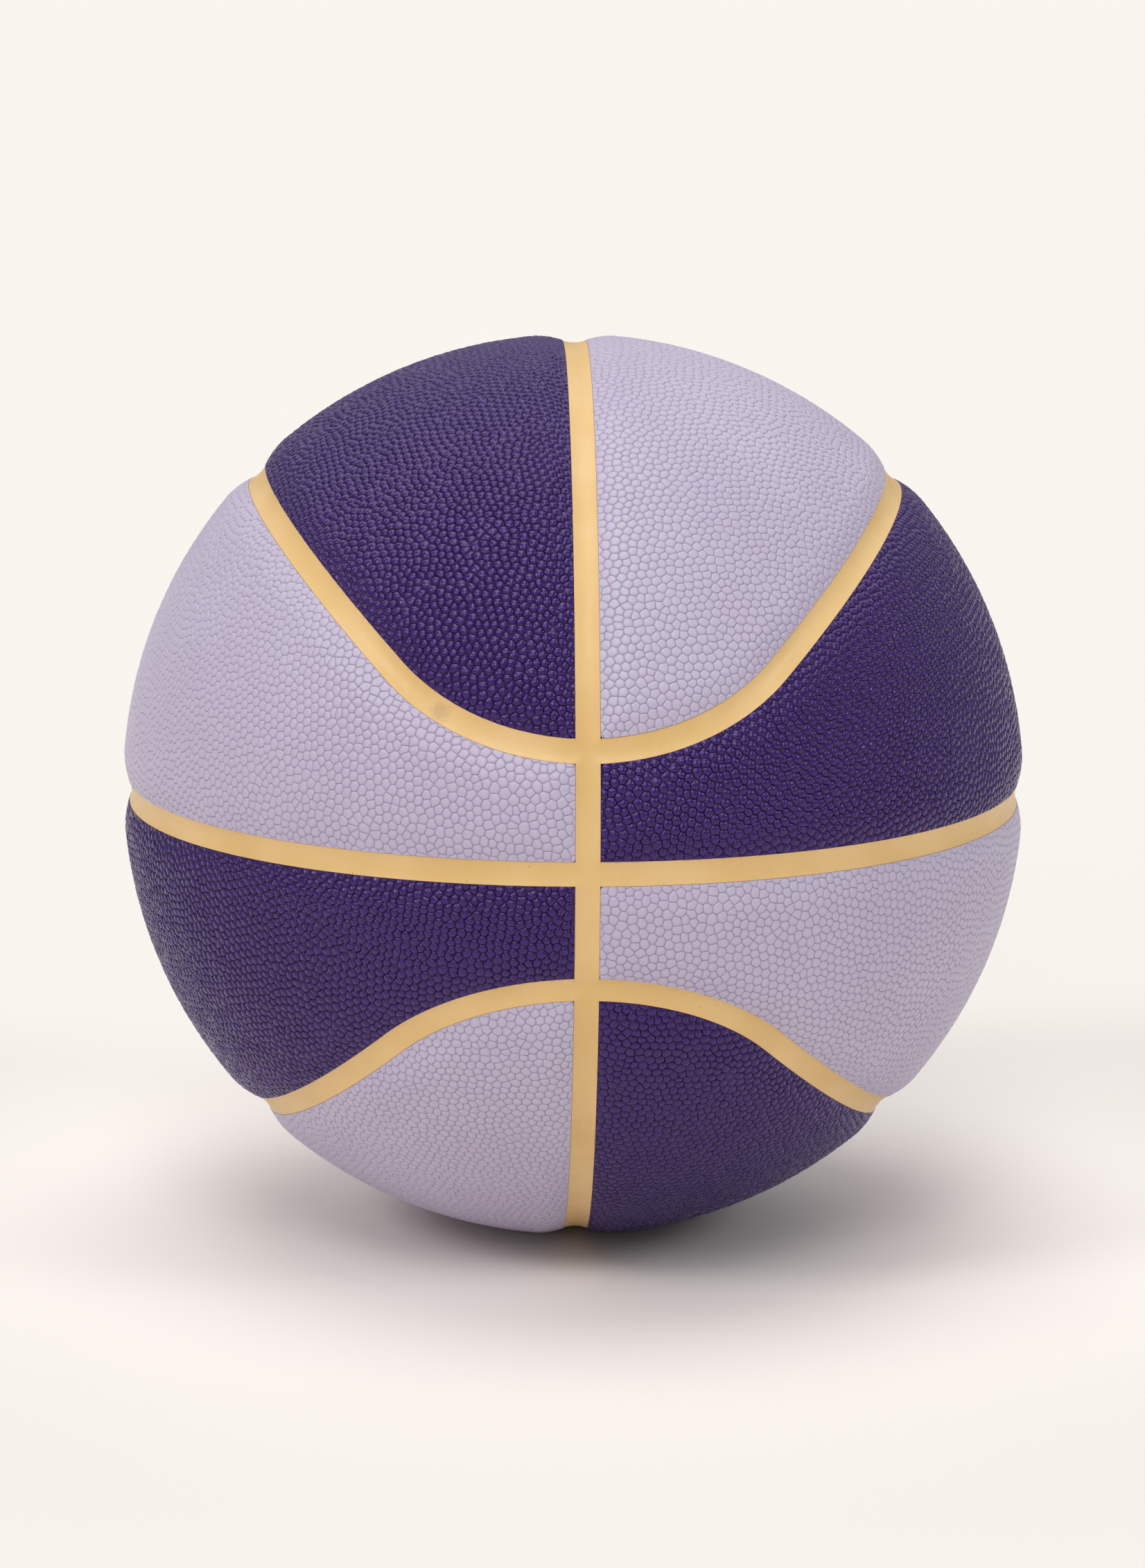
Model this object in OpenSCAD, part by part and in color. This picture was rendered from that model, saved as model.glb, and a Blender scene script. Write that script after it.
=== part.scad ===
// Size 7 basketball with a laminated cover.
//
// An air-tight bladder is wound with thread and coated with a rubber carcass.
// Seven seam strips are laid on the carcass, and eight cover panels fill the
// fields between them. A rubber valve reaches from the bladder to the cover.
//
// Millimetres. The origin is the centre of the ball, +Z is up, -Y is the front
// and +X is the right of a person who looks at the front.
//
// The seams are two great circles and two loops. The meridian lies in the
// plane x = 0 and the equator in the plane z = 0. Each loop goes round a pole:
// it dips close to the equator at the front and the back and stands high on
// both sides. Its two ends are arcs of small circles and its two arms are arcs
// of great circles, and an end and an arm touch without a kink.

/* [Ball] */
// Radius of the ball at the crown of its panels
crown_r = 120; // [110:0.5:130]
// Thickness of a cover panel at its crown
cover_t = 3.4; // [3:0.1:4.5]

/* [Seam strips] */
// Width of a seam strip between two panels
strip_w = 6.1; // [4.5:0.1:7.5]
// Depth of the middle of a strip below the crown
groove_depth = 2.3; // [1.8:0.1:2.5]
// How far the face of a strip is dished between its edges
strip_dish = 0.5; // [0.3:0.05:0.8]
// Step from the edge of a strip up to the edge of a panel
panel_lip = 0.25; // [0.1:0.05:0.4]
// Cement line between a strip and what lies beside it
seam_gap = 0.1; // [0.05:0.05:0.25]
// Film of cement between the carcass and what is laid on it
cement_t = 0.1; // [0.05:0.05:0.3]
// Width of the rounded shoulder that leads a panel down to its seam
shoulder_w = 7.2; // [5:0.2:9]

/* [Seam layout] */
// Elevation of the axis that the two ends of a loop turn about, in degrees
loop_end_elev = 44.6; // [43:0.2:47]
// Tilt of the arms of a loop above the equator, in degrees
loop_arm_tilt = 44.8; // [43:0.2:47]

/* [Layers under the cover] */
// Thickness of the rubber carcass
carcass_t = 1; // [0.7:0.1:1.6]
// Thickness of the thread winding
winding_t = 0.6; // [0.4:0.1:1.2]
// Thickness of the bladder
bladder_t = 0.9; // [0.7:0.1:1.5]

/* [Valve housing] */
// Angle of the valve below the equator, in degrees
valve_drop = 9; // [8:0.5:13]
// Radius of the neck, which shows in the panel
neck_r = 3.4; // [3.2:0.1:4.5]
// Play round the neck in the cover and in the layers below it
neck_fit = 0.1; // [0.05:0.05:0.3]
// How far the face of the neck lies below the crown
face_drop = 0.6; // [0.3:0.1:1]
// Bevel round the hole in the panel
hole_bevel = 0.5; // [0.2:0.1:0.8]
// Radius of the flange that is bonded inside the bladder
flange_r = 11; // [8:0.5:15]
// Thickness of the flange
flange_t = 1.2; // [0.8:0.1:2]
// Radius of the barrel below the flange
barrel_r = 5.2; // [4.6:0.1:7]
// Length of the barrel below the flange
barrel_len = 10; // [9:0.5:14]
// Thickness of the foot that closes the barrel
foot_t = 1.4; // [1:0.1:2]
// Radius of the air hole in the foot
air_hole_r = 1.1; // [0.8:0.1:1.4]

/* [Valve plug] */
// Radius of the head of the plug
head_r = 2.4; // [2.2:0.1:2.6]
// Height of the head
head_t = 1.5; // [1:0.1:2.5]
// Radius of the shank
shank_r = 1.8; // [1.6:0.1:2]
// Radius of the bulb that holds the plug in its housing
bulb_r = 3; // [2.5:0.1:3.6]
// Height of the bulb
bulb_t = 2.6; // [2:0.1:3.5]
// Length of the shank below the bulb
tail_len = 2.4; // [1.5:0.1:3]
// Depth of the head below the face of the neck
head_drop = 0.3; // [0.1:0.1:0.6]
// Play between the plug and its pocket
plug_fit = 0.05; // [0.02:0.01:0.1]
// Radius of the needle guide
needle_r = 0.95; // [0.8:0.05:1.1]
// Depth of the needle guide below the head
needle_depth = 10.5; // [8:0.5:11]
// Radius of the funnel at the mouth of the guide
funnel_r = 1.6; // [1.3:0.1:1.8]

/* [Hidden] */
$fn = 256;
// How far a cutting shape runs past the surface that it cuts
overrun = 1;
// How far the hollow of a strip is sunk where it runs through another strip
cross_sink = 0.1;
// Where an arm of a loop is spliced to an end, it runs into the end by this
// angle, in degrees. Its strip and the slot for it are smaller all round by the
// first step, and the shoulders beside the slot stand proud by the second.
splice_turn = 0.05;
splice_step = 0.02;
shoulder_step = 0.1;
// Angle at which a shoulder leaves the crown, as a share of its mean slope
shoulder_lead_share = 0.3;

// Radii of the layers
seat_r = crown_r - cover_t;
carcass_r = seat_r - cement_t;
winding_r = carcass_r - carcass_t;
bladder_r = winding_r - winding_t;
air_r = bladder_r - bladder_t;
reach = crown_r + overrun;

// Section of a seam. The radius runs along x, the width across the seam along
// y, and the seam itself along the equator of the drawing.
strip_half = strip_w / 2;
slot_half = strip_half + seam_gap;
// The face of a strip is a hollow arc
dish_r = (strip_half * strip_half + strip_dish * strip_dish) / (2 * strip_dish);
dish_x = crown_r - groove_depth + dish_r;
// The shoulder is an arc from the edge of the panel to a point on the crown.
// It leaves the crown at a small angle, and its radius follows from the rest.
panel_edge_depth = groove_depth - strip_dish - panel_lip;
edge_r = crown_r - panel_edge_depth;
edge_pt = [sqrt(edge_r * edge_r - slot_half * slot_half), slot_half];
crest_angle = asin(slot_half / crown_r) + shoulder_w / crown_r * 180 / PI;
crest_pt = crown_r * [cos(crest_angle), sin(crest_angle)];
lead = shoulder_lead_share * atan(panel_edge_depth / shoulder_w);
inward = -[cos(crest_angle - lead), sin(crest_angle - lead)];
crest_to_edge = edge_pt - crest_pt;
shoulder_r = crest_to_edge * crest_to_edge / (2 * crest_to_edge * inward);
shoulder_pt = crest_pt + shoulder_r * inward;

// Layout of a loop. The small circle of an end touches the great circles of
// both arms, which fixes its radius and the places where they meet.
end_radius = asin(sin(loop_end_elev) * cos(loop_arm_tilt));
end_half_turn = atan(tan(loop_arm_tilt) / cos(loop_end_elev));
arm_half_turn = 90 - atan(tan(loop_end_elev) * sin(loop_arm_tilt)) + splice_turn;
// The space inside a loop is cut a little wide, under its strip, by a third of
// the angle that half a strip spans
end_cone = end_radius + asin(strip_half / crown_r) / 3;

// Heights along the axis of the valve, from the centre of the ball
face_z = crown_r - face_drop;
flange_z = air_r - flange_t;
barrel_z = flange_z - barrel_len;
head_z = face_z - head_drop;
tail_z = barrel_z + foot_t;
bulb_z = tail_z + tail_len;
funnel_t = funnel_r - needle_r;

// Colours of the two kinds of panel and of the seam strips
dark_panel = "#4d3d6b";
light_panel = "#b4a8c1";
gold_strip = "#e2c08c";

// Ball layers

module layer(outer_r, inner_r) {
    difference() {
        sphere(outer_r);
        sphere(inner_r);
    }
}

// Turns its children so that their +Z points out along the valve
module at_valve() {
    rotate([0, -90 - valve_drop, 0]) children();
}

// The round hole that the neck of the valve takes through a layer
module neck_hole() {
    at_valve() cylinder(h = reach, r = neck_r + neck_fit);
}

// Paths of the seams. Each carries a section, drawn as the values above say.

module along_meridian() {
    rotate([0, 90, 0]) rotate_extrude() children();
}

module along_equator() {
    rotate_extrude() children();
}

// The front and back ends of the upper loop, across the meridian
module along_upper_ends() {
    for (back = [0, 1])
        mirror([0, back, 0])
            rotate([90 - loop_end_elev, 0, 0])
                rotate_extrude(angle = 2 * end_half_turn, start = -90 - end_half_turn)
                    rotate(90 - end_radius) children();
}

// The right arm of the upper loop
module along_upper_arm() {
    rotate([0, -loop_arm_tilt, 0])
        rotate_extrude(angle = 2 * arm_half_turn, start = -arm_half_turn)
            children();
}

// Sections across a seam

// The rubber strip: flat sides, a seat on the carcass and a hollow face
module strip_section(step = 0) {
    difference() {
        translate([seat_r - overrun, step - strip_half])
            square([cover_t + overrun, strip_w - 2 * step]);
        circle(seat_r + step);
        translate([dish_x, 0]) circle(dish_r + step);
    }
}

// What the hollow face of one strip takes out of another strip that it crosses
module dish_section() {
    intersection() {
        translate([seat_r, -strip_half]) square([cover_t + overrun, strip_w]);
        translate([dish_x - cross_sink, 0]) circle(dish_r);
    }
}

// The groove between two panels: a slot for the strip, and a rounded shoulder
// on each side of it
module groove_section(step = 0, rise = 0) {
    translate([seat_r - overrun, step - slot_half])
        square([cover_t + 2 * overrun, 2 * slot_half - 2 * step]);
    for (side = [0, 1])
        mirror([0, side])
            difference() {
                translate([edge_pt.x, 0])
                    square([reach - edge_pt.x, crest_pt.y]);
                translate(shoulder_pt) circle(shoulder_r + rise);
            }
}

// Everything on the right of the meridian strip
module right_of_meridian() {
    translate([slot_half, -reach, -reach]) cube([reach, 2 * reach, 2 * reach]);
}

// The part of it that lies above the equator
module right_and_above() {
    translate([slot_half, -reach, 0]) cube([reach, 2 * reach, reach]);
}

// The space inside the right half of the upper loop
module inside_upper_loop() {
    for (back = [0, 1])
        mirror([0, back, 0])
            rotate([90 - loop_end_elev, 0, 0])
                cylinder(h = reach, r1 = 0, r2 = reach * tan(end_cone));
    rotate([0, -loop_arm_tilt, 0])
        translate([-reach, -crown_r * sin(arm_half_turn), 0])
            cube([2 * reach, 2 * crown_r * sin(arm_half_turn), reach]);
}

// The pieces of the right upper quarter. Mirrors make the other quarters.

module equator_half() {
    intersection() {
        along_equator() strip_section();
        right_of_meridian();
    }
}

module loop_half() {
    intersection() {
        union() {
            along_upper_ends() strip_section();
            along_upper_arm() strip_section(splice_step);
        }
        right_of_meridian();
    }
}

// Takes the grooves along the upper loop and the meridian out of a field of
// the cover
module inside_grooves() {
    difference() {
        difference() {
            difference() {
                children();
                along_upper_arm() groove_section(splice_step, shoulder_step);
            }
            along_upper_ends() groove_section();
        }
        along_meridian() groove_section();
    }
}

// The panel between the pole and the loop
module cap_panel() {
    inside_grooves()
        intersection() {
            intersection() {
                right_of_meridian();
                inside_upper_loop();
            }
            layer(crown_r, seat_r);
        }
}

// The panel between the loop and the equator
module band_panel() {
    inside_grooves()
        difference() {
            intersection() {
                difference() {
                    right_and_above();
                    inside_upper_loop();
                }
                layer(crown_r, seat_r);
            }
            along_equator() groove_section();
        }
}

module on_left() {
    mirror([1, 0, 0]) children();
}

module below() {
    mirror([0, 0, 1]) children();
}

// Inner pieces

module bladder() {
    color("#2c2c30")
        difference() {
            layer(bladder_r, air_r);
            neck_hole();
        }
}

module thread_winding() {
    color("#e8e4d8")
        difference() {
            layer(winding_r, bladder_r);
            neck_hole();
        }
}

module carcass() {
    color("#3b3536")
        difference() {
            layer(carcass_r, winding_r);
            neck_hole();
        }
}

// The plug, or with play its pocket: a head, a shank and a bulb. The pocket of
// the head is open above.
module plug_form(play = 0, mouth = 0) {
    translate([0, 0, head_z - head_t - play])
        cylinder(h = head_t + play + mouth, r = head_r + play);
    translate([0, 0, tail_z - play])
        cylinder(h = head_z - tail_z, r = shank_r + play);
    translate([0, 0, bulb_z - play])
        cylinder(h = bulb_t + 2 * play, r = bulb_r + play);
}

module valve_housing() {
    color("#333236")
        difference() {
            union() {
                at_valve() translate([0, 0, flange_z]) cylinder(h = face_z - flange_z, r = neck_r);
                intersection() {
                    layer(air_r, flange_z);
                    at_valve() cylinder(h = reach, r = flange_r);
                }
                at_valve() translate([0, 0, barrel_z])
                    cylinder(h = barrel_len + flange_t / 2, r = barrel_r);
            }
            at_valve() plug_form(plug_fit, head_drop + overrun);
            at_valve() translate([0, 0, barrel_z - overrun])
                cylinder(h = foot_t + 2 * overrun, r = air_hole_r);
        }
}

module valve_plug() {
    color("#1f1f22")
        at_valve()
            difference() {
                plug_form();
                translate([0, 0, head_z - needle_depth])
                    cylinder(h = needle_depth + overrun, r = needle_r);
                translate([0, 0, head_z - funnel_t])
                    cylinder(h = funnel_t, r1 = needle_r, r2 = funnel_r);
            }
}

// Seam strips. The strips that meet the meridian strip butt against its sides,
// and their hollow faces run on through it.

module meridian_strip() {
    color(gold_strip)
        difference() {
            along_meridian() strip_section();
            along_equator() dish_section();
            along_upper_ends() dish_section();
            below() along_upper_ends() dish_section();
        }
}

module equator_strip_left() {
    color(gold_strip) on_left() equator_half();
}

module equator_strip_right() {
    color(gold_strip) equator_half();
}

module upper_loop_strip_left() {
    color(gold_strip) on_left() loop_half();
}

module upper_loop_strip_right() {
    color(gold_strip) loop_half();
}

module lower_loop_strip_left() {
    color(gold_strip) below() on_left() loop_half();
}

module lower_loop_strip_right() {
    color(gold_strip) below() loop_half();
}

// Cover panels

module top_cap_panel_left() {
    color(dark_panel) on_left() cap_panel();
}

module top_cap_panel_right() {
    color(light_panel) cap_panel();
}

module upper_band_panel_left() {
    color(light_panel) on_left() band_panel();
}

module upper_band_panel_right() {
    color(dark_panel) band_panel();
}

// The panel that the valve comes through
module lower_band_panel_left() {
    color(dark_panel)
        difference() {
            below() on_left() band_panel();
            neck_hole();
            at_valve() translate([0, 0, crown_r - hole_bevel])
                cylinder(h = hole_bevel + overrun, r1 = neck_r + neck_fit,
                         r2 = neck_r + neck_fit + hole_bevel + overrun);
        }
}

module lower_band_panel_right() {
    color(light_panel) below() band_panel();
}

module bottom_cap_panel_left() {
    color(light_panel) below() on_left() cap_panel();
}

module bottom_cap_panel_right() {
    color(dark_panel) below() cap_panel();
}

bladder();
valve_housing();
valve_plug();
thread_winding();
carcass();
meridian_strip();
equator_strip_left();
equator_strip_right();
upper_loop_strip_left();
upper_loop_strip_right();
lower_loop_strip_left();
lower_loop_strip_right();
top_cap_panel_left();
top_cap_panel_right();
upper_band_panel_left();
upper_band_panel_right();
lower_band_panel_left();
lower_band_panel_right();
bottom_cap_panel_left();
bottom_cap_panel_right();
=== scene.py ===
"""The looks of a size 7 basketball with a laminated two-tone cover and gold seam strips.

The file follows the ball as it is put together, from the bladder to the cover. Meshes are worked out in millimetres,
and materials, which see the finished mesh, in metres.
"""

import math

import bpy
import numpy as np
from mathutils import Matrix, Vector, geometry


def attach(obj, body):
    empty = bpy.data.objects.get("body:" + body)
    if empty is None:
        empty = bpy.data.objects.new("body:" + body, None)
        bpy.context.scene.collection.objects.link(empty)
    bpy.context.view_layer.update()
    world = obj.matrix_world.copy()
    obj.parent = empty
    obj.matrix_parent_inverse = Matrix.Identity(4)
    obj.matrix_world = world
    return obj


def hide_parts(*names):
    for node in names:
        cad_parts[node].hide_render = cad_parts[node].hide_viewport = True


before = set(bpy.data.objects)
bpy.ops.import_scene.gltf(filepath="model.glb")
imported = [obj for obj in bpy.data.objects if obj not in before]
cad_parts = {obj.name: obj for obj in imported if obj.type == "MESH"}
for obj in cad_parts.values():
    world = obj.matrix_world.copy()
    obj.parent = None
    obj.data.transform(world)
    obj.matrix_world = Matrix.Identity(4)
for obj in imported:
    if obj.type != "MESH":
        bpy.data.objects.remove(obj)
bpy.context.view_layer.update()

# ---- Bladder
# A seamless balloon of black butyl rubber that holds the air. It is dipped and cured, so its face is smooth with a
# faint cloudiness. It lies deepest in the ball and keeps its CAD shape.


def srgb(red, green, blue):
    """The linear colour of three sRGB values from 0 to 255.

    Each is ((v + 0.055) / 1.055) to the power 2.4, or v / 12.92 near black."""
    v = np.array([red, green, blue]) / 255
    return (*np.where(v > 0.04045, ((v + 0.055) / 1.055) ** 2.4, v / 12.92), 1.0)


def put(tree, kind, inputs, **settings):
    """Adds a shader node. Each input is a number, a colour or another node's output."""
    made = tree.nodes.new("ShaderNode" + kind)
    for name, value in settings.items():
        setattr(made, name, value)
    for name, value in inputs.items():
        if isinstance(value, bpy.types.NodeSocket):
            tree.links.new(value, made.inputs[name])
        else:
            made.inputs[name].default_value = value
    return made


def new_finish(name, **sockets):
    """A material with a Principled shader. Returns it, its node tree, the shader and the Object coordinates."""
    finish = bpy.data.materials.new(name)
    finish.use_nodes = True
    tree = finish.node_tree
    tree.nodes.clear()
    shader = put(tree, "BsdfPrincipled", {key.replace("_", " "): value for key, value in sockets.items()})
    tree.links.new(shader.outputs[0], put(tree, "OutputMaterial", {}).inputs[0])
    return finish, tree, shader, put(tree, "TexCoord", {}).outputs["Object"]


def blend(tree, share, low, high):
    """Mixes two colours, share of the second."""
    return put(tree, "Mix", {0: share, 6: low, 7: high}, data_type="RGBA").outputs[2]


def ramp(tree, value, start, end, low=0.0, high=1.0):
    """A smooth step of a value, from low at start to high at end."""
    return put(tree, "MapRange", {0: value, 1: start, 2: end, 3: low, 4: high},
               interpolation_type="SMOOTHSTEP").outputs[0]


def noise(tree, where, scale, detail=2.0):
    """Noise from 0 to 1, with about scale grains to the metre."""
    return put(tree, "TexNoise", {"Vector": where, "Scale": scale, "Detail": detail}).outputs[0]


def raise_by(tree, height, reach, strength=1.0, under=None):
    """A bump of so many metres for a height from 0 to 1, on top of another bump."""
    inputs = {"Height": height, "Distance": reach, "Strength": strength}
    if under is not None:
        inputs["Normal"] = under
    return put(tree, "Bump", inputs).outputs[0]


def moulded_rubber(name, dark, light, roughness, grain):
    """A plain moulded rubber: two close shades in clouds, with a fine grain of so many bumps to the metre, which also
    varies the roughness by 0.08 both ways."""
    finish, tree, shader, where = new_finish(name)
    clouds = noise(tree, where, 90.0, 4.0)
    fine = noise(tree, where, grain, 3.0)
    tree.links.new(blend(tree, ramp(tree, clouds, 0.3, 0.7), dark, light), shader.inputs["Base Color"])
    tree.links.new(ramp(tree, fine, 0.2, 0.8, roughness - 0.08, roughness + 0.08), shader.inputs["Roughness"])
    tree.links.new(raise_by(tree, fine, 0.00004), shader.inputs["Normal"])
    return finish


def dress(name, finish):
    """Gives a CAD node that is shown as it is its finish."""
    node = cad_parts[name]
    node.data.materials.clear()
    node.data.materials.append(finish)


butyl_rubber = moulded_rubber("butyl_rubber", srgb(40, 40, 44), srgb(52, 52, 56), roughness=0.42, grain=2600.0)
dress("bladder", butyl_rubber)

# ---- Valve
# A soft rubber housing is bonded inside the bladder, and its neck comes up through every layer. A harder plug with
# the needle guide is pushed into it from outside and held by its bulb. Both are moulded and keep their CAD shapes.

housing_rubber = moulded_rubber("valve_rubber", srgb(46, 45, 50), srgb(60, 59, 64), roughness=0.62, grain=5200.0)
plug_rubber = moulded_rubber("plug_rubber", srgb(26, 26, 29), srgb(38, 38, 42), roughness=0.4, grain=6400.0)
dress("valve_housing", housing_rubber)
dress("valve_plug", plug_rubber)

# ---- Thread winding
# Undyed thread, wound round the bladder in every direction and set in latex, keeps the ball round. The carcass covers
# it everywhere. Its threads are drawn as crossing ridges 0.9 mm apart.


def wound_thread():
    """Ridges in four directions, the highest on top: the largest of four sets of bands, each turned its own way."""
    finish, tree, shader, where = new_finish("latex_thread", Roughness=0.7)
    top = None
    for turn in ((0.0, 0.2, 0.1), (1.1, 0.3, 0.9), (0.5, 1.2, 2.0), (2.2, 0.8, 0.4)):
        lay = put(tree, "Mapping", {"Vector": where, "Rotation": turn})
        thread = put(tree, "TexWave", {"Vector": lay.outputs[0], "Scale": 350.0, "Distortion": 0.6}).outputs[1]
        top = thread if top is None else put(tree, "Math", {0: top, 1: thread}, operation="MAXIMUM").outputs[0]
    tree.links.new(blend(tree, top, srgb(176, 166, 140), srgb(238, 232, 216)), shader.inputs["Base Color"])
    tree.links.new(raise_by(tree, top, 0.0003), shader.inputs["Normal"])
    return finish


dress("thread_winding", wound_thread())

# ---- Carcass
# A coat of dark rubber over the winding, cured in the ball mould. The seam strips and the cover are cemented to it,
# and it shows only as the floor of the cement lines.

carcass_rubber = moulded_rubber("carcass_rubber", srgb(52, 46, 44), srgb(64, 57, 54), roughness=0.66, grain=3000.0)
dress("carcass", carcass_rubber)

# ---- Seam strips
# Seven strips of gold rubber with a hollow face, extruded, laid on the carcass and cemented. The meridian strip is
# one ring. The two strips of the equator and the four of the loops butt against its sides, and their hollows run
# through it.

mm = 0.001
right, front, up = np.array([1.0, 0, 0]), np.array([0, -1.0, 0]), np.array([0, 0, 1.0])

# Radii of the panels' crown, of a strip's middle line, of the bottom of its hollow and of the seat under it
crown_r, line_r, groove_r, seat_r = 119.96, 118, 117.7, 116.62
# A strip's half width and edge bevel, and the half width and depth of its hollow between two panels
strip_half, strip_bevel, hollow_half, hollow_depth = 3.13, 0.14, 3.05, 0.5
# The hollow is an arc. Its radius comes from the half width and the depth.
dish_r = (hollow_half**2 + hollow_depth**2) / (2 * hollow_depth)
dish_centre = groove_r + dish_r
hollow_points = 25
# Where a strip is cut off beside the meridian strip, and how softly two hollows run together
butt_x, hollow_blend = strip_half + 0.003, 0.5

# The end of a loop turns about this axis, and its arm lies in a great circle with this normal
loop_end_elev, loop_arm_tilt = math.radians(44.6), math.radians(44.8)
end_axis = np.array([0, -math.cos(loop_end_elev), math.sin(loop_end_elev)])
end_down = np.array([0, -math.sin(loop_end_elev), -math.cos(loop_end_elev)])
arm_top = np.array([math.cos(loop_arm_tilt), 0, math.sin(loop_arm_tilt)])
arm_normal = np.array([-math.sin(loop_arm_tilt), 0, math.cos(loop_arm_tilt)])
# They touch where the end has turned by end_turn and the arm begins at arm_start
end_radius = math.asin(math.sin(loop_end_elev) * math.cos(loop_arm_tilt))
end_turn = math.atan(math.tan(loop_arm_tilt) / math.cos(loop_end_elev))
arm_start = math.atan(math.tan(loop_end_elev) * math.sin(loop_arm_tilt))


def unit(v):
    """Vectors of length 1."""
    return v / np.linalg.norm(v, axis=-1, keepdims=True)


def loop_angle(p):
    """The signed angle from directions p to the upper loop, positive inside it.

    Folded to the right front, the loop is an arc of a small circle up to the point where it touches the arm, and the
    great circle of the arm beyond. Which of them counts depends on the side of the plane through that point. The
    angle from the small circle is its radius less the angle from its axis, and the angle from the great circle is
    the arcsine of the component along its normal."""
    q = np.stack([abs(p[:, 0]), -abs(p[:, 1]), p[:, 2]], 1)
    touch = math.cos(arm_start) * front + math.sin(arm_start) * arm_top
    along = np.cross(arm_normal, touch)
    on_arm = (q @ along) * (arm_top @ along) > 0
    arm = np.arcsin(np.clip(q @ arm_normal, -1, 1))
    return np.where(on_arm, arm, end_radius - np.arccos(np.clip(q @ end_axis, -1, 1)))


def dish(y):
    """Height of a strip's face from the ball's centre: a hollow arc across the strip, capped at its edges."""
    return dish_centre - np.sqrt(dish_r**2 - np.minimum(abs(y), strip_half) ** 2)


def strip_section():
    """Points round a strip, in order, as (y, height): the hollow face, the bevelled edges, the sides and the seat.

    The points of the face stand at the sines of even steps across it, closer together towards its edges."""
    y = (strip_half - strip_bevel) * np.sin(np.linspace(-np.pi / 2, np.pi / 2, hollow_points))
    edge = dish(strip_half)
    side = [(strip_half - 0.3 * strip_bevel, edge - 0.3 * strip_bevel), (strip_half, edge - strip_bevel)]
    seat = [(a, math.sqrt(seat_r**2 - a * a)) for a in (strip_half, 1.5, -1.5, -strip_half)]
    left = [(-a, h) for a, h in reversed(side)]
    return np.array([*zip(y, dish(y)), *side, *seat, *left])


def solid(name, points, *groups, **values):
    """A smooth mesh object at the origin, from points in millimetres, groups of faces with equally many corners, and
    values per point that the finish reads."""
    mesh = bpy.data.meshes.new(name)
    mesh.vertices.add(len(points))
    mesh.vertices.foreach_set("co", (np.asarray(points) * mm).ravel())
    corners = np.concatenate([g.ravel() for g in groups])
    sizes = np.concatenate([np.full(len(g), g.shape[1]) for g in groups])
    mesh.loops.add(len(corners))
    mesh.loops.foreach_set("vertex_index", corners.astype(np.int32))
    mesh.polygons.add(len(sizes))
    mesh.polygons.foreach_set("loop_start", (np.cumsum(sizes) - sizes).astype(np.int32))
    mesh.polygons.foreach_set("use_smooth", np.ones(len(sizes), bool))
    mesh.update(calc_edges=True)
    for key, value in values.items():
        mesh.attributes.new(key, "FLOAT", "POINT").data.foreach_set("value", value.astype(np.float32))
    made = bpy.data.objects.new(name, mesh)
    bpy.context.scene.collection.objects.link(made)
    return made


def give_way(height, side, place, y, crossing):
    """The height of a strip's face where another strip crosses it, and the nearness to an edge for the finish.

    The other hollow stands at the root of (its height squared + the distance from its middle squared - y squared) on
    this strip's own scale, and rises steeply beyond its edges. The face takes the smooth lesser of the two."""
    near = crossing(place.reshape(-1, 3)).reshape(height.shape)
    other = np.sqrt(dish(near) ** 2 + near**2 - y * y) + 4 * np.maximum(near - strip_half, 0)
    share = np.clip(0.5 + (other - height) / hollow_blend, 0, 1)
    lower = other * (1 - share) + height * share - hollow_blend / 2 * share * (1 - share)
    # Only the face gives way: the hollow, and the two points of each bevel
    face = np.arange(len(y)) < hollow_points + 2
    face[-2:] = True
    return np.where(face, lower, height), np.minimum(side, near / strip_half)


def lay_strip(name, middle, across, turns, crossing=None):
    """Carries the strip's section along a seam. Ring i of points is middle[i] * height + across[i] * y.

    A strip that others cross is a ring, closed on itself, and crossing gives the distance of points from the nearest
    of them. Another strip is cut flat against the meridian strip: its end rings slide along the seam to the plane
    x = butt_x. turns is the mirror (x, z) that takes it to its place."""
    y, height = strip_section().T
    n, k = len(middle), len(y)
    height, side = np.tile(height, (n, 1)), np.tile(abs(y) / strip_half, (n, 1))
    points = middle[:, None] * height[..., None] + across[:, None] * y[:, None]
    if crossing is not None:
        height, side = give_way(height, side, points, y, crossing)
        points = middle[:, None] * height[..., None] + across[:, None] * y[:, None]
    else:
        for ring in (0, -1):
            travel = unit(np.cross(across[ring], middle[ring]))
            points[ring] += travel * ((butt_x - points[ring, :, 0]) / travel[0])[:, None]
    rows, columns = np.arange(n if crossing is not None else n - 1)[:, None], np.arange(k)
    a, b = rows * k + columns, rows * k + (columns + 1) % k
    c, d = (rows + 1) % n * k + (columns + 1) % k, (rows + 1) % n * k + columns
    groups = [np.stack([a, b, c, d], -1).reshape(-1, 4)]
    if crossing is None:
        groups += [np.arange(k)[::-1][None], (n - 1) * k + np.arange(k)[None]]
    points = points.reshape(-1, 3) * (turns[0], 1, turns[1])
    if turns[0] * turns[1] < 0:
        groups = [g[:, ::-1] for g in groups]
    made = solid(name, points, *groups, side=side.ravel())
    made.data.set_sharp_from_angle(angle=math.radians(60))
    made.data.materials.append(gold_rubber)
    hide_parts(name)
    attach(made, "root")
    return made


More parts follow.
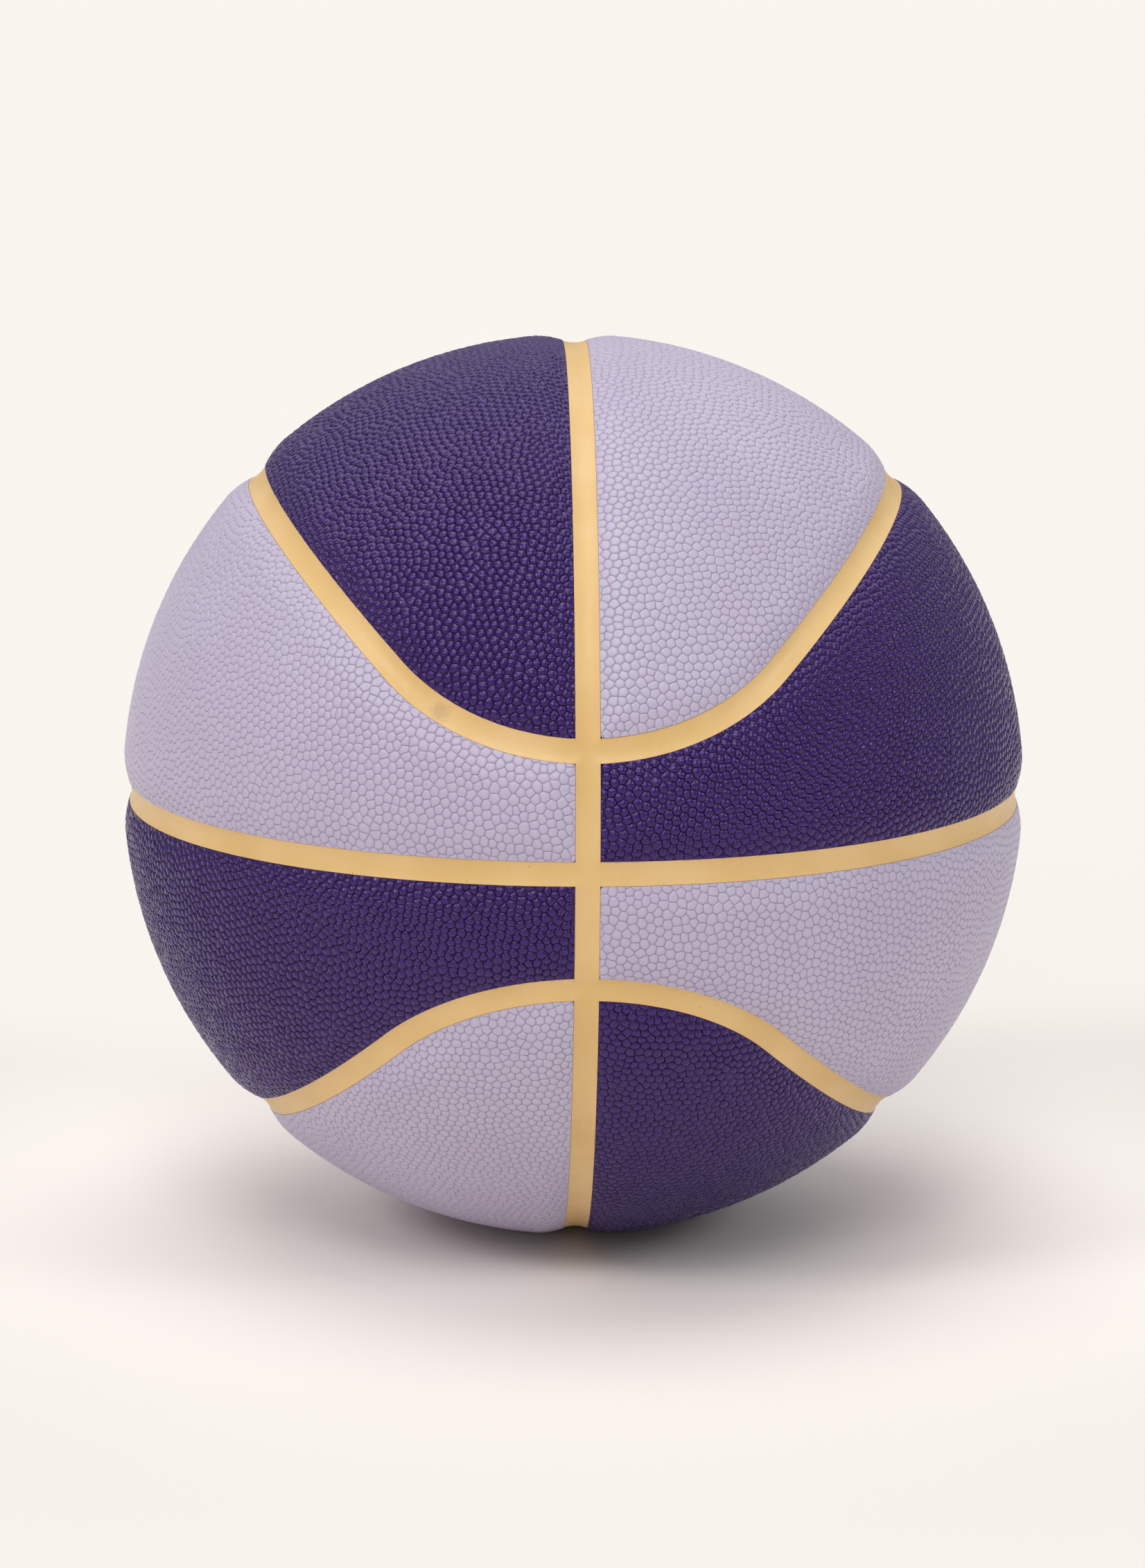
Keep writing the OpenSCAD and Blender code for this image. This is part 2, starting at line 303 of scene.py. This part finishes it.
def gold_finish():
    """Satin gold rubber. Clouds of a deeper shade, a few dark specks, hair scratches, one smudge, and a line of dull
    cement along both edges."""
    finish, tree, shader, where = new_finish("gold_rubber")
    clouds = ramp(tree, noise(tree, where, 38.0, 3.0), 0.3, 0.7)
    colour = blend(tree, clouds, srgb(219, 180, 115), srgb(227, 191, 131))
    # A speck lies at the middle of one Voronoi cell in four
    specks = put(tree, "TexVoronoi", {"Vector": where, "Scale": 210.0, "Randomness": 1.0})
    chosen = put(tree, "SeparateColor", {0: specks.outputs["Color"]}).outputs[0]
    dot = put(tree, "Math", {0: ramp(tree, specks.outputs["Distance"], 0.02, 0.06, 0.7, 0.0),
                             1: ramp(tree, chosen, 0.72, 0.74)}, operation="MULTIPLY").outputs[0]
    colour = blend(tree, dot, colour, srgb(150, 112, 74))
    # A scratch runs where one noise is near 0.5, in the places where another is high
    paths = noise(tree, where, 55.0, 1.0)
    places = ramp(tree, noise(tree, where, 24.0, 2.0), 0.56, 0.62)
    off = put(tree, "Math", {0: paths, 1: 0.5}, operation="SUBTRACT").outputs[0]
    off = put(tree, "Math", {0: off}, operation="ABSOLUTE").outputs[0]
    scratch = put(tree, "Math", {0: ramp(tree, off, 0.0, 0.0013, 0.5, 0.0), 1: places},
                  operation="MULTIPLY").outputs[0]
    colour = blend(tree, scratch, colour, srgb(242, 214, 164))
    # The smudge is a spot of 5 mm with a ragged edge, on the left arm of the upper loop
    smudge_at = (-0.0364, -0.1054, 0.0383)
    away = put(tree, "VectorMath", {0: where, 1: smudge_at}, operation="DISTANCE").outputs["Value"]
    ragged = put(tree, "Math", {0: noise(tree, where, 700.0, 3.0), 1: 0.003}, operation="MULTIPLY").outputs[0]
    away = put(tree, "Math", {0: away, 1: ragged}, operation="ADD").outputs[0]
    smudge = ramp(tree, away, 0.0022, 0.0052, 0.5, 0.0)
    colour = blend(tree, smudge, colour, srgb(176, 146, 104))
    side = put(tree, "Attribute", {}, attribute_name="side").outputs["Fac"]
    colour = blend(tree, ramp(tree, side, 0.955, 0.998, 0.0, 0.9), colour, srgb(196, 128, 78))
    tree.links.new(colour, shader.inputs["Base Color"])
    tree.links.new(ramp(tree, noise(tree, where, 420.0, 3.0), 0.25, 0.75, 0.34, 0.46), shader.inputs["Roughness"])
    bump = raise_by(tree, noise(tree, where, 130.0, 2.0), 0.00025, 0.6)
    bump = raise_by(tree, scratch, 0.00003, 0.6, bump)
    tree.links.new(raise_by(tree, noise(tree, where, 3000.0, 2.0), 0.00002, 0.5, bump), shader.inputs["Normal"])
    return finish


gold_rubber = gold_finish()


def meridian_crossings(p):
    """The distance of points p from the middle line of the nearest strip that crosses the meridian: the height from
    the equator, and line_r times the sine of the angle from a loop. The lower loop mirrors the upper one."""
    direction = unit(p)
    lower = direction * (1, 1, -1)
    near = np.stack([p[:, 2], line_r * np.sin(loop_angle(direction)), line_r * np.sin(loop_angle(lower))], 1)
    return abs(near).min(1)


# The meridian ring is crossed by the equator, and by the loops 14.72 degrees above and below it, at the front and at
# the back. It has fine steps within 2.3 degrees of a crossing, and every sixth of these steps elsewhere.
fine_steps = 4500
crossing_at = np.radians([0, 14.72, -14.72, 180, 165.28, 194.72])
turn = np.linspace(0, 2 * np.pi, fine_steps + 1)[:-1]
nearest = abs((turn[:, None] - crossing_at + np.pi) % (2 * np.pi) - np.pi).min(1)
turn = turn[(nearest < math.radians(2.3)) | (np.arange(fine_steps) % 6 == 0)]
middle = np.cos(turn)[:, None] * front + np.sin(turn)[:, None] * up
lay_strip("meridian_strip", middle, np.tile(-right, (len(turn), 1)), (1, 1), meridian_crossings)

# The right half of the equator, and its mirror image
butt_angle = math.asin(butt_x / line_r)
turn = np.linspace(butt_angle, np.pi - butt_angle, 620)
middle = np.cos(turn)[:, None] * front + np.sin(turn)[:, None] * right
for name, sign in (("equator_strip_left", -1), ("equator_strip_right", 1)):
    lay_strip(name, middle, np.tile(up, (len(turn), 1)), (sign, 1))

# The right half of the upper loop: the front end, the arm and the back end. The other halves are its mirror images.
turn = np.linspace(math.asin(butt_x / line_r / math.sin(end_radius)), end_turn, 90)[:-1, None]
spoke = np.cos(turn) * end_down + np.sin(turn) * right
end_part = math.cos(end_radius) * end_axis + math.sin(end_radius) * spoke
end_across = math.sin(end_radius) * end_axis - math.cos(end_radius) * spoke
arm = np.linspace(arm_start, np.pi - arm_start, 340)[:, None]
arm_part = np.cos(arm) * front + np.sin(arm) * arm_top
middle = np.concatenate([end_part, arm_part, end_part[::-1] * (1, -1, 1)])
across = np.concatenate([end_across, np.tile(arm_normal, (len(arm), 1)), end_across[::-1] * (1, -1, 1)])
for name, turns in (("upper_loop_strip_left", (-1, 1)), ("upper_loop_strip_right", (1, 1)),
                    ("lower_loop_strip_left", (-1, -1)), ("lower_loop_strip_right", (1, -1))):
    lay_strip(name, middle, across, turns)

# ---- Cover panels
# Eight panels of pebbled composite, skived round their rims, fill the fields between the strips and are cemented to
# the carcass. Dark purple and pale lilac take turns. The pebbles are moulded in, and a panel's rim cuts through them.

# Radius of the ball, half the way between two panels, and the radius of their rims
ball_r, rim_half, rim_r = 120, 3.15, 118.45
panel_edge = math.asin(rim_half / rim_r)
# Width and drop of the shoulders. A shoulder's arc runs from the rim, given as height and distance from the seam's
# middle, to its crest, and leaves the crown there at the angle shoulder_lead.
shoulder_w, shoulder_drop = 7.2, 1.55
edge_pt, crest_angle = np.array([118.408, rim_half]), math.asin(rim_half / ball_r) + shoulder_w / ball_r
shoulder_lead = 0.3 * math.atan(shoulder_drop / shoulder_w)
# Radius of a panel's rounded corners as an angle, depth of the rim's face, and radius of the inside face
corner_round, rim_face, panel_inside = 0.7 / ball_r, 0.5, 116.66
# The relief is this share of its full depth at the rim and full this far from it, and grows this far round the valve
rim_relief, rim_run, valve_run = 0.6, 1.2, 0.8
# The valve comes out 9 degrees from the equator. Its hole has a bevel and a smooth ring round it.
valve_axis = np.array([math.cos(math.radians(9)), 0, math.sin(math.radians(9))])
hole_r, hole_bevel, hole_ring = 3.5, 0.5, 6.6


def shoulder(angle):
    """The cover's radius at an angle from the nearest seam: the crown, and near the seam the arc of the shoulder.

    The arc starts at the edge of the panel and leaves the crown at a small angle. A ray meets its circle at
    d.s + sqrt((d.s)^2 - s^2 + rho^2), with d the ray, s the circle's centre and rho its radius."""
    crest = crown_r * np.array([math.cos(crest_angle), math.sin(crest_angle)])
    inward = -np.array([math.cos(crest_angle - shoulder_lead), math.sin(crest_angle - shoulder_lead)])
    chord = edge_pt - crest
    rho = chord @ chord / (2 * chord @ inward)
    s = crest + rho * inward
    d = np.stack([np.cos(angle), np.sin(angle)], -1) @ s
    return np.where(angle < crest_angle, d + np.sqrt(np.maximum(d * d - s @ s + rho * rho, 0)), crown_r)


def panel_seams(kind):
    """The borders of a panel in the right upper quarter along its seams, each as a function of directions: the
    angle from the border, positive on the panel's side."""
    if kind == "cap":
        return [lambda p: np.arcsin(p[:, 0]) - panel_edge, lambda p: loop_angle(p) - panel_edge]
    return [lambda p: np.arcsin(p[:, 0]) - panel_edge, lambda p: -loop_angle(p) - panel_edge,
            lambda p: np.arcsin(p[:, 2]) - panel_edge]


def rounded(*fields):
    """One border for several that meet in corners: c less the length of the vector of max(c - field, 0), with c
    the radius of the corners."""
    def border(p):
        short = [np.maximum(corner_round - field(p), 0) for field in fields]
        return corner_round - np.linalg.norm(short, axis=0)
    return border


def valve_hole(p):
    """The angle of directions p from the border of the valve's hole, positive outside it."""
    return np.arccos(np.clip(p @ valve_axis, -1, 1)) - math.asin((hole_r + hole_bevel) / crown_r)


def panel_frame(kind):
    """The middle of a panel, half the way up between its seams, the direction along it and the one across it."""
    half = loop_arm_tilt / 2 if kind == "band" else math.pi / 4 + loop_arm_tilt / 2
    centre = np.array([math.cos(half), 0, math.sin(half)])
    return centre, -front, np.cross(centre, -front)


def directions(s, t, kind):
    """The directions at angles s along and t across from a panel's middle, like a longitude and a latitude:
    cos t (cos s centre + sin s along) + sin t across."""
    centre, along, across = panel_frame(kind)
    s, t = s[:, None], t[:, None]
    return np.cos(t) * (np.cos(s) * centre + np.sin(s) * along) + np.sin(t) * across


def flatten(p, kind):
    """Stereographic map of directions: their parts along and across the panel, over 1 + the part towards its middle.
    It keeps circles round, so the flat Delaunay net is the ball's own."""
    centre, along, across = panel_frame(kind)
    return np.stack([p @ along, p @ across], 1) / (1 + p @ centre)[:, None]


def net(p, kind):
    """Delaunay triangles of directions p, turned outwards, and the centre of each triangle's circle, which is the
    direction of its normal and a corner of the pebbles round its three points."""
    found = geometry.delaunay_2d_cdt(flatten(p, kind).tolist(), [], [], 0, 1e-9, True)
    source = np.array([ids[0] for ids in found[3]])
    triangles = source[np.array(found[2])]
    a, b, c = (p[triangles[:, i]] for i in range(3))
    normal = np.cross(b - a, c - a)
    turned = np.einsum("ij,ij->i", normal, a) < 0
    triangles[turned] = triangles[turned][:, ::-1]
    return triangles, unit(np.where(turned[:, None], -normal, normal))


def pebble_centres(kind, seams, rng, pitch):
    """Scattered points, one to a pebble: a triangular lattice, shaken, then eased twice towards the mean of the
    corners of each point's own cell, which leaves uneven cells of about one size.

    The lattice's rows stand 0.866 of the pitch apart, and every second row is shifted by half a pitch."""
    j, i = np.meshgrid(np.arange(-32, 33), np.arange(-96, 97))
    s = (i + 0.5 * (j % 2)).ravel() * pitch
    t = j.ravel() * pitch * 0.866
    shake = 0.42
    s, t = s + rng.uniform(-shake, shake, s.shape) * pitch, t + rng.uniform(-shake, shake, t.shape) * pitch
    p = directions(s, t, kind)
    # Three rows beyond the seams are kept, so the pebbles at the rim have all their neighbours
    p = p[np.min([seam(p) for seam in seams], 0) > -3 * pitch]
    for _ in range(2):
        triangles, corner = net(p, kind)
        flat, far = triangles.ravel(), np.zeros(len(p))
        corners = np.repeat(corner, 3, 0)
        np.maximum.at(far, flat, np.linalg.norm(corners - p[flat], axis=1))
        count = np.bincount(flat, minlength=len(p))[:, None]
        total = np.stack([np.bincount(flat, corners[:, axis], len(p)) for axis in range(3)], 1)
        # Points at the outside of the net have no whole cell and stay
        p = np.where(far[:, None] < 1.4 * pitch, unit(total / np.maximum(count, 1)), p)
    return p


def pebble_sectors(triangles):
    """The sectors of the pebbles, two to each edge of the net, one on either side of a groove.

    Edge e of triangle e // 3 starts at the point triangles.ravel()[e]. Returns each sector's own edge, whose triangle
    gives its left corner, the matching edge of the neighbour, whose triangle gives the right one, and the edge of its
    own pebble in the neighbour's triangle."""
    tail, head = triangles.ravel(), triangles[:, [1, 2, 0]].ravel()
    key = np.minimum(tail, head) * (tail.max() + 1) + np.maximum(tail, head)
    order = np.argsort(key, kind="stable")
    same = np.nonzero(key[order][1:] == key[order][:-1])[0]
    one, two = order[same], order[same + 1]
    left, other = np.concatenate([one, two]), np.concatenate([two, one])
    return left, other, other - other % 3 + (other % 3 + 1) % 3


def pebbles(kind, seams, rng, pitch, cover):
    """The pebbled skin: per point a direction, a share of the relief and its rise out of the groove, and triangles.

    Each pebble is a fan of sectors, one to each neighbour. A sector has the pebble's middle, a rim with a point at
    each corner and one between, and the two corners at the floor of the groove. A flat pebble has an inner ring as
    well. A point's share of the relief is a fixed sink for its kind, plus a swell and a tilt that are random for each
    pebble."""
    p = pebble_centres(kind, seams, rng, pitch)
    triangles, corner = net(p, kind)
    n, m, tail = len(p), len(triangles), triangles.ravel()
    left, other, right_rim = pebble_sectors(triangles)
    mid, low0, low1 = tail[left], other // 3, left // 3
    # The points in five groups: the middles, the inner ring and the rim towards each corner, the rim between two
    # corners, which stands a little further out where these are far apart, and the corners
    owner, cell, inner, rim = p[tail], np.repeat(corner, 3, 0), 0.56, cover["rim"]
    width = np.linalg.norm(corner[low0] - corner[low1], axis=1)
    between = rim + 0.08 * np.minimum(1, width / (0.4 * pitch))
    middle = p[mid] + between[:, None] * ((corner[low0] + corner[low1]) / 2 - p[mid])
    points = unit(np.concatenate([p, owner + inner * (cell - owner), owner + rim * (cell - owner), middle, corner]))
    # How far each group is sunk, as a share of the relief, and the rise that the finish reads
    spread, inner_fall, fall = 0.07, 0.07, cover["fall"]
    swell = rng.normal(0, spread, n)
    sunk = np.concatenate([swell, inner_fall + swell[tail], fall + 0.5 * swell[tail], fall + 0.5 * swell[mid],
                           np.ones(m)])
    tilt, around = rng.normal(0, cover["tilt"], (n, 3)) / pitch, np.concatenate([tail, tail, mid])
    sunk[n:-m] += np.einsum("ij,ij->i", points[n:-m] - p[around], tilt[around])
    rise = np.repeat([2.6, 1.8, 1.0, 1.0, 0.0], [n, 3 * m, 3 * m, len(mid), m])
    ring, rim_start = n, n + 3 * m
    a0, a1, b0, b1 = ring + right_rim, ring + left, rim_start + right_rim, rim_start + left
    g = n + 6 * m + np.arange(len(mid))
    w0, w1 = n + 6 * m + len(mid) + low0, n + 6 * m + len(mid) + low1
    dome = ((mid, b0, g), (mid, g, b1))
    top = dome if cover["domed"] else ((mid, a0, a1), (a0, b0, g), (a0, g, a1), (a1, g, b1))
    skin = np.concatenate([np.stack(t, 1) for t in (*top, (b0, w0, g), (w0, w1, g), (w1, b1, g))])
    return np.column_stack([points, np.maximum(sunk, 0), rise]), skin


def trim(data, skin, field):
    """Cuts a triangle mesh along the line where a field is zero and keeps the positive side. A new point divides its
    edge in the ratio of the field's two values."""
    g = field(data[:, :3])
    inside = g > 0
    count = inside[skin].sum(1)
    cut = skin[(count == 1) | (count == 2)]
    # a is the corner that stands alone on its side of the line
    odd = np.where(inside[cut].sum(1) == 1, inside[cut].argmax(1), (~inside[cut]).argmax(1))
    rows = np.arange(len(cut))
    a, b, c = (cut[rows, (odd + i) % 3] for i in range(3))
    pairs = np.sort(np.stack([np.concatenate([a, a]), np.concatenate([b, c])], 1), 1)
    unique, back = np.unique(pairs, axis=0, return_inverse=True)
    back = back.ravel() + len(data)
    share = (g[unique[:, 0]] / (g[unique[:, 0]] - g[unique[:, 1]]))[:, None]
    fresh = data[unique[:, 0]] * (1 - share) + data[unique[:, 1]] * share
    fresh[:, :3] = unit(fresh[:, :3])
    ab, ac = back[:len(a)], back[len(a):]
    lone = inside[a]
    kept = np.concatenate([skin[count == 3], np.stack([a, ab, ac], 1)[lone], np.stack([ab, b, c], 1)[~lone],
                           np.stack([ab, c, ac], 1)[~lone]])
    used, kept = np.unique(kept, return_inverse=True)
    return np.concatenate([data, fresh])[used], kept.reshape(-1, 3)


def rim_of(skin, count):
    """The rim of a mesh with so many points: the directed edges that only one triangle uses."""
    edges = np.concatenate([skin[:, [0, 1]], skin[:, [1, 2]], skin[:, [2, 0]]])
    key = edges.min(1) * count + edges.max(1)
    order = np.argsort(key, kind="stable")
    repeated = np.zeros(len(key), bool)
    same = key[order][1:] == key[order][:-1]
    repeated[order[1:][same]] = repeated[order[:-1][same]] = True
    return edges[~repeated]


def inside_face(foot, foot_edges, kind, seams, borders):
    """The plain inside face of a panel: a lattice of directions 3 degrees apart, 1 degree clear of the borders,
    joined to the foot of the wall by a Delaunay net that keeps the foot's edges.

    Returns the lattice, and those triangles whose middle lies within the borders, turned inwards."""
    s, t = (v.ravel() * math.radians(3) for v in np.meshgrid(np.arange(-31, 32), np.arange(-9, 10)))
    lattice = directions(s, t, kind)
    lattice = lattice[np.min([field(lattice) for field in seams + borders[1:]], 0) > math.radians(1)]
    p = np.concatenate([foot, lattice])
    found = geometry.delaunay_2d_cdt(flatten(p, kind).tolist(), foot_edges.tolist(), [], 0, 1e-9, True)
    source = np.array([ids[0] if ids else -1 for ids in found[3]])
    back = source[np.array(found[2])]
    middle = unit(p[back].mean(1))
    back = back[(np.min([border(middle) for border in borders], 0) > -0.0002) & (back.min(1) >= 0)]
    normal = np.cross(p[back[:, 1]] - p[back[:, 0]], p[back[:, 2]] - p[back[:, 0]])
    outwards = np.einsum("ij,ij->i", normal, p[back[:, 0]]) > 0
    back[outwards] = back[outwards][:, ::-1]
    return lattice, back


def mark_sharp(made, rim, rise):
    """Marks a panel's edges sharp along its rim and along the floors of its grooves, where both ends have no rise."""
    count = len(made.data.vertices)
    ends = np.empty(2 * len(made.data.edges), np.int32)
    made.data.edges.foreach_get("vertices", ends)
    ends = ends.reshape(-1, 2).astype(np.int64)
    sharp = np.isin(ends.min(1) * count + ends.max(1), rim.min(1) * count + rim.max(1))
    sharp |= rise[ends].max(1) < 1e-6
    made.data.attributes.new("sharp_edge", "BOOLEAN", "EDGE").data.foreach_set("value", sharp)


def panel(name, kind, turns, cover, seed, pitch, valved=False):
    """One panel: its pebbled skin, trimmed at its borders and set on the crown and shoulders, a wall down to the
    carcass, and the plain inside face. turns is the mirror (x, z) from the right upper quarter to its place, seed
    starts the random draws, and pitch is the distance between pebbles in millimetres.

    A point of the skin lies at the shoulder's radius less the relief times the point's share of it. The relief is
    shallower near the rim, and there is none round the valve."""
    finish, slot = cover["finish"], cover["slot"]
    seams = panel_seams(kind)
    borders = [rounded(*seams), valve_hole] if valved else [rounded(*seams)]
    data, skin = pebbles(kind, seams, np.random.default_rng(seed), pitch / ball_r, cover)
    for border in borders:
        data, skin = trim(data, skin, border)
    p = data[:, :3]
    from_seam = np.min([seam(p) for seam in seams], 0) + panel_edge
    relief = rim_relief + (1 - rim_relief) * np.clip((from_seam - panel_edge) * crown_r / rim_run, 0, 1)
    if valved:
        from_valve = np.arccos(np.clip(p @ valve_axis, -1, 1)) * crown_r
        relief *= np.clip((from_valve - hole_ring) / valve_run, 0, 1)
    radius = shoulder(from_seam) - cover["relief"] * relief * data[:, 3]

    # The wall stands under the rim, in two steps. Round the valve it is the bevel and the bore of the hole.
    rim = rim_of(skin, len(p))
    rim_points, rim_edges = np.unique(rim, return_inverse=True)
    rim_edges = rim_edges.reshape(-1, 2)
    q = p[rim_points]
    step, foot = q * (radius[rim_points] - rim_face)[:, None], q * panel_inside
    if valved:
        at_hole = np.arccos(np.clip(q @ valve_axis, -1, 1)) * crown_r < hole_ring
        radial = unit(q - (q @ valve_axis)[:, None] * valve_axis)[at_hole] * hole_r
        step[at_hole] = radial + valve_axis * (crown_r - hole_bevel)
        foot[at_hole] = radial + valve_axis * panel_inside
    lattice, back = inside_face(unit(foot), rim_edges, kind, seams, borders)

    n, r = len(p), len(rim_points)
    points = np.concatenate([p * radius[:, None], step, foot, lattice * panel_inside]) * (turns[0], 1, turns[1])
    i, j = rim_edges.T
    upper = np.stack([rim[:, 1], rim[:, 0], n + i, n + j], 1)
    lower = np.stack([n + j, n + i, n + r + i, n + r + j], 1)
    groups = [skin, back + n + r, upper, lower]
    if turns[0] * turns[1] < 0:
        groups = [g[:, ::-1] for g in groups]
    rise = np.concatenate([data[:, 4], np.full(len(points) - n, 1.5)])
    made = solid(name, points, *groups, rise=rise)
    mark_sharp(made, rim, rise)
    made.data.materials.append(finish)
    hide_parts(name)
    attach(made, "root")
    return made


def pebbled_finish(name, pebble, cloud, groove_shade_and_dirt, roughness, gloss, tint):
    """Composite cover: one colour with clouds of another close to it on the pebbles, a deeper one in the grooves that
    is painted shade and dirt, a fine grain, and more gloss on the pebbles than in the grooves."""
    finish, tree, shader, where = new_finish(name, Specular_IOR_Level=gloss, Specular_Tint=tint)
    rise = put(tree, "Attribute", {}, attribute_name="rise").outputs["Fac"]
    clouds = ramp(tree, noise(tree, where, 22.0, 3.0), 0.3, 0.7)
    colour = blend(tree, clouds, pebble, cloud)
    # The grooves take a deeper colour: painted shade, with some dirt
    colour = blend(tree, ramp(tree, rise, 0.2, 1.0, 1.0, 0.0), colour, groove_shade_and_dirt)
    tree.links.new(colour, shader.inputs["Base Color"])
    tree.links.new(ramp(tree, rise, 0.6, 1.6, roughness + 0.12, roughness), shader.inputs["Roughness"])
    tree.links.new(raise_by(tree, noise(tree, where, 1100.0, 2.0), 0.00004, 0.5), shader.inputs["Normal"])
    return finish


# The dark pebbles are domes with wide grooves, the light ones flat with narrow grooves. relief is the depth of a
# groove in millimetres, rim how far out a pebble's rim stands on the way to its corners, fall how deep the rim lies
# as a share of the relief, and tilt the spread of a pebble's slope.
dark_cover = dict(
    slot="dark_panel", domed=True, relief=0.52, rim=0.68, fall=0.26, tilt=0.3,
    finish=pebbled_finish("dark_cover", pebble=srgb(43, 17, 87), cloud=srgb(47, 21, 91), groove_shade_and_dirt=srgb(19, 2, 50),
                          roughness=0.22, gloss=0.67, tint=srgb(220, 192, 255)))
light_cover = dict(
    slot="light_panel", domed=False, relief=0.4, rim=0.82, fall=0.30, tilt=0.12,
    finish=pebbled_finish("light_cover", pebble=srgb(184, 174, 198), cloud=srgb(189, 180, 203),
                          groove_shade_and_dirt=srgb(174, 163, 189), roughness=0.36, gloss=0.42, tint=srgb(255, 255, 255)))

# The pitch of the pebbles, last in each row, differs a little from panel to panel
for seed, (name, kind, turns, cover, pitch) in enumerate((
    ("top_cap_panel_left", "cap", (-1, 1), dark_cover, 2.36),
    ("top_cap_panel_right", "cap", (1, 1), light_cover, 2.46),
    ("upper_band_panel_left", "band", (-1, 1), light_cover, 2.5),
    ("upper_band_panel_right", "band", (1, 1), dark_cover, 2.4),
    ("lower_band_panel_left", "band", (-1, -1), dark_cover, 2.34),
    ("lower_band_panel_right", "band", (1, -1), light_cover, 2.5),
    ("bottom_cap_panel_left", "cap", (-1, -1), light_cover, 2.42),
    ("bottom_cap_panel_right", "cap", (1, -1), dark_cover, 2.32),
)):
    panel(name, kind, turns, cover, seed + 5, pitch, valved=name == "lower_band_panel_left")

# ---- Floor, light and camera
# A plain cream floor, with painted light round the ball that lifts its shadow, under an even studio sky and eight
# broad
# soft lights: one above, five from the front and its sides, which glint on the pebbles, and two from behind, which
# lay the shadow before the ball.


def studio_floor():
    """A flat square, 40 m wide, 0.02 mm under the ball. Its paint is a little paler round the ball: painted light
    that lifts the ball's shadow.
    """
    z, half = -119.575, 20000.0
    corners = np.array([[-half, -half, z], [half, -half, z], [half, half, z], [-half, half, z]])
    floor = solid("studio_floor", corners, np.array([[0, 1, 2, 3]]))
    finish, tree, shader, where = new_finish("floor_paint", Roughness=0.9, Specular_IOR_Level=0.0)
    away = put(tree, "VectorMath", {0: where}, operation="LENGTH").outputs["Value"]
    # Paler within 0.3 m of the ball's centre: painted light that lifts the ball's shadow
    colour = blend(tree, ramp(tree, away, 0.12, 0.3), srgb(252, 246, 241), srgb(233, 228, 223))
    tree.links.new(colour, shader.inputs["Base Color"])
    floor.data.materials.append(finish)


studio_floor()

world = bpy.data.worlds.new("studio_sky")
bpy.context.scene.world = world
world.use_nodes = True
sky = world.node_tree.nodes["Background"]
sky.inputs["Color"].default_value = (1.0, 0.99, 0.98, 1.0)
sky.inputs["Strength"].default_value = 0.31


def towards(azimuth, elevation):
    """The direction at so many degrees to the right of the front and so many above the floor."""
    a, e = math.radians(azimuth), math.radians(elevation)
    return Vector((math.sin(a) * math.cos(e), -math.cos(a) * math.cos(e), math.sin(e)))


def soft_sun(name, azimuth, elevation, strength, spread, colour=(1, 1, 1)):
    """A light at infinity that stands at a direction and looks spread degrees wide."""
    lamp = bpy.data.lights.new(name, "SUN")
    lamp.energy, lamp.angle, lamp.color = strength, math.radians(spread), colour
    made = bpy.data.objects.new(name, lamp)
    bpy.context.scene.collection.objects.link(made)
    made.rotation_mode = "QUATERNION"
    made.rotation_quaternion = towards(azimuth, elevation).to_track_quat("Z", "Y")


warm, cool = (1, 0.97, 0.94), (0.96, 0.98, 1)
soft_sun("top_softbox", -127, 85, 0.94, 38)
soft_sun("high_softbox", -18, 58, 0.42, 32)
soft_sun("front_softbox", -3, 46, 0.4, 20)
soft_sun("low_softbox", -22, 22, 0.24, 30, warm)
soft_sun("left_softbox", -56, 37, 0.56, 16, warm)
soft_sun("right_softbox", 64, 33, 0.42, 18, cool)
soft_sun("back_left_softbox", -146, 44, 0.38, 44)
soft_sun("back_right_softbox", 142, 44, 0.34, 44)


def photograph_camera():
    """The camera looks from 1.436 m away, 1.8 degrees to the left of the front and 10.85 degrees up, rolled by 0.29
    degrees. It is moved one pixel to the left, so the ball stands one pixel right of the middle of the picture."""
    distance, roll, focal, sensor, rows = 1.436, math.radians(0.29), 123.3, 36.0, 2262
    back = towards(-1.8, 10.85)
    side = Vector(up).cross(back).normalized()
    rise = back.cross(side)
    side, rise = side * math.cos(roll) + rise * math.sin(roll), rise * math.cos(roll) - side * math.sin(roll)
    lens = bpy.data.cameras.new("camera")
    lens.sensor_fit, lens.sensor_width, lens.sensor_height = "AUTO", sensor, sensor
    lens.lens = focal
    lens.clip_start, lens.clip_end = 0.05, 100.0
    made = bpy.data.objects.new("camera", lens)
    bpy.context.scene.collection.objects.link(made)
    pixel = distance / (focal / sensor * rows)
    basis = Matrix((side, rise, back)).transposed().to_4x4()
    made.matrix_world = Matrix.Translation(back * distance - side * pixel) @ basis
    bpy.context.scene.camera = made


photograph_camera()

bpy.context.scene.view_settings.view_transform = "Standard"
